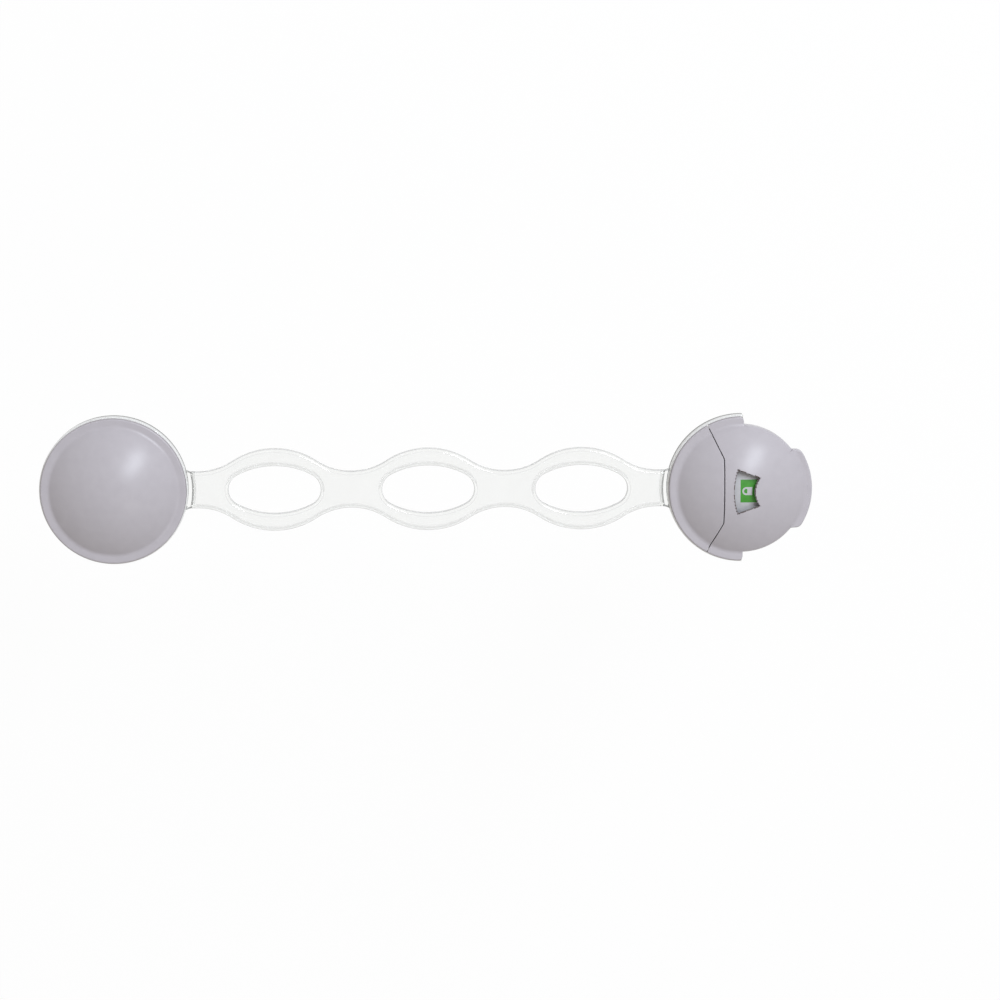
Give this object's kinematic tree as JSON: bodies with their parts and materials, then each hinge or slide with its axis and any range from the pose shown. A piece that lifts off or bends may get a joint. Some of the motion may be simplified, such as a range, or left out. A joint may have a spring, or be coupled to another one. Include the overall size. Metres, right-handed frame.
{
  "type": "cabinet safety lock",
  "caption": "Strap lock for cabinet doors: a clear strap of oval links between a round anchor dome and a latch dome whose sprung cover slides back to release the catch.",
  "frame": {"origin": "middle of the lock's length and width, on the underside of the adhesive pads", "axes": "+X along the strap from the anchor to the latch, +Z away from the mounting surface"},
  "size_m": [0.2012, 0.0386, 0.013],
  "materials": {
    "grey_plastic": "satin lilac-grey moulded plastic",
    "clear_plastic": "clear flexible plastic, polished",
    "foam_tape": "white foam adhesive tape",
    "label_film": "printed white film with a green and a red field",
    "screw_steel": "zinc-plated steel",
    "spring_steel": "drawn spring wire"
  },
  "bodies": {
    "latch": {"latch_pad": "foam_tape", "latch_base": "grey_plastic", "latch_chassis": "grey_plastic", "latch_collar": "clear_plastic", "front_shell": "grey_plastic", "status_label": "label_film", "latch_screws": "screw_steel", "return_spring_upper": "spring_steel", "return_spring_lower": "spring_steel"},
    "cover": {"catch_plate": "grey_plastic", "slide_cover": "grey_plastic", "cover_screws": "screw_steel"},
    "strap": {"strap": "clear_plastic", "latch_web": "clear_plastic", "anchor_web": "clear_plastic"},
    "anchor": {"anchor_pad": "foam_tape", "anchor_base": "grey_plastic", "anchor_collar": "clear_plastic", "anchor_cap": "grey_plastic", "anchor_screws": "screw_steel"}
  },
  "joints": [
    {"name": "cover_slide", "type": "slide", "parent": "latch", "child": "cover", "axis": [1, 0, 0], "range_m": [0, 0.0045], "stiffness_N_per_m": 300, "springref_m": -0.004, "deforming": ["return_spring_upper", "return_spring_lower"]},
    {"name": "latch_flex", "type": "hinge", "parent": "latch", "child": "strap", "pos_m": [0.06205, 0, 0.0035], "axis": [0, 1, 0], "range_deg": [-45, 45], "stiffness_Nm_per_rad": 0.06, "deforming": ["latch_web"]},
    {"name": "anchor_flex", "type": "hinge", "parent": "strap", "child": "anchor", "pos_m": [-0.06125, 0, 0.0035], "axis": [0, 1, 0], "range_deg": [-45, 45], "stiffness_Nm_per_rad": 0.06, "deforming": ["anchor_web"]}
  ]
}
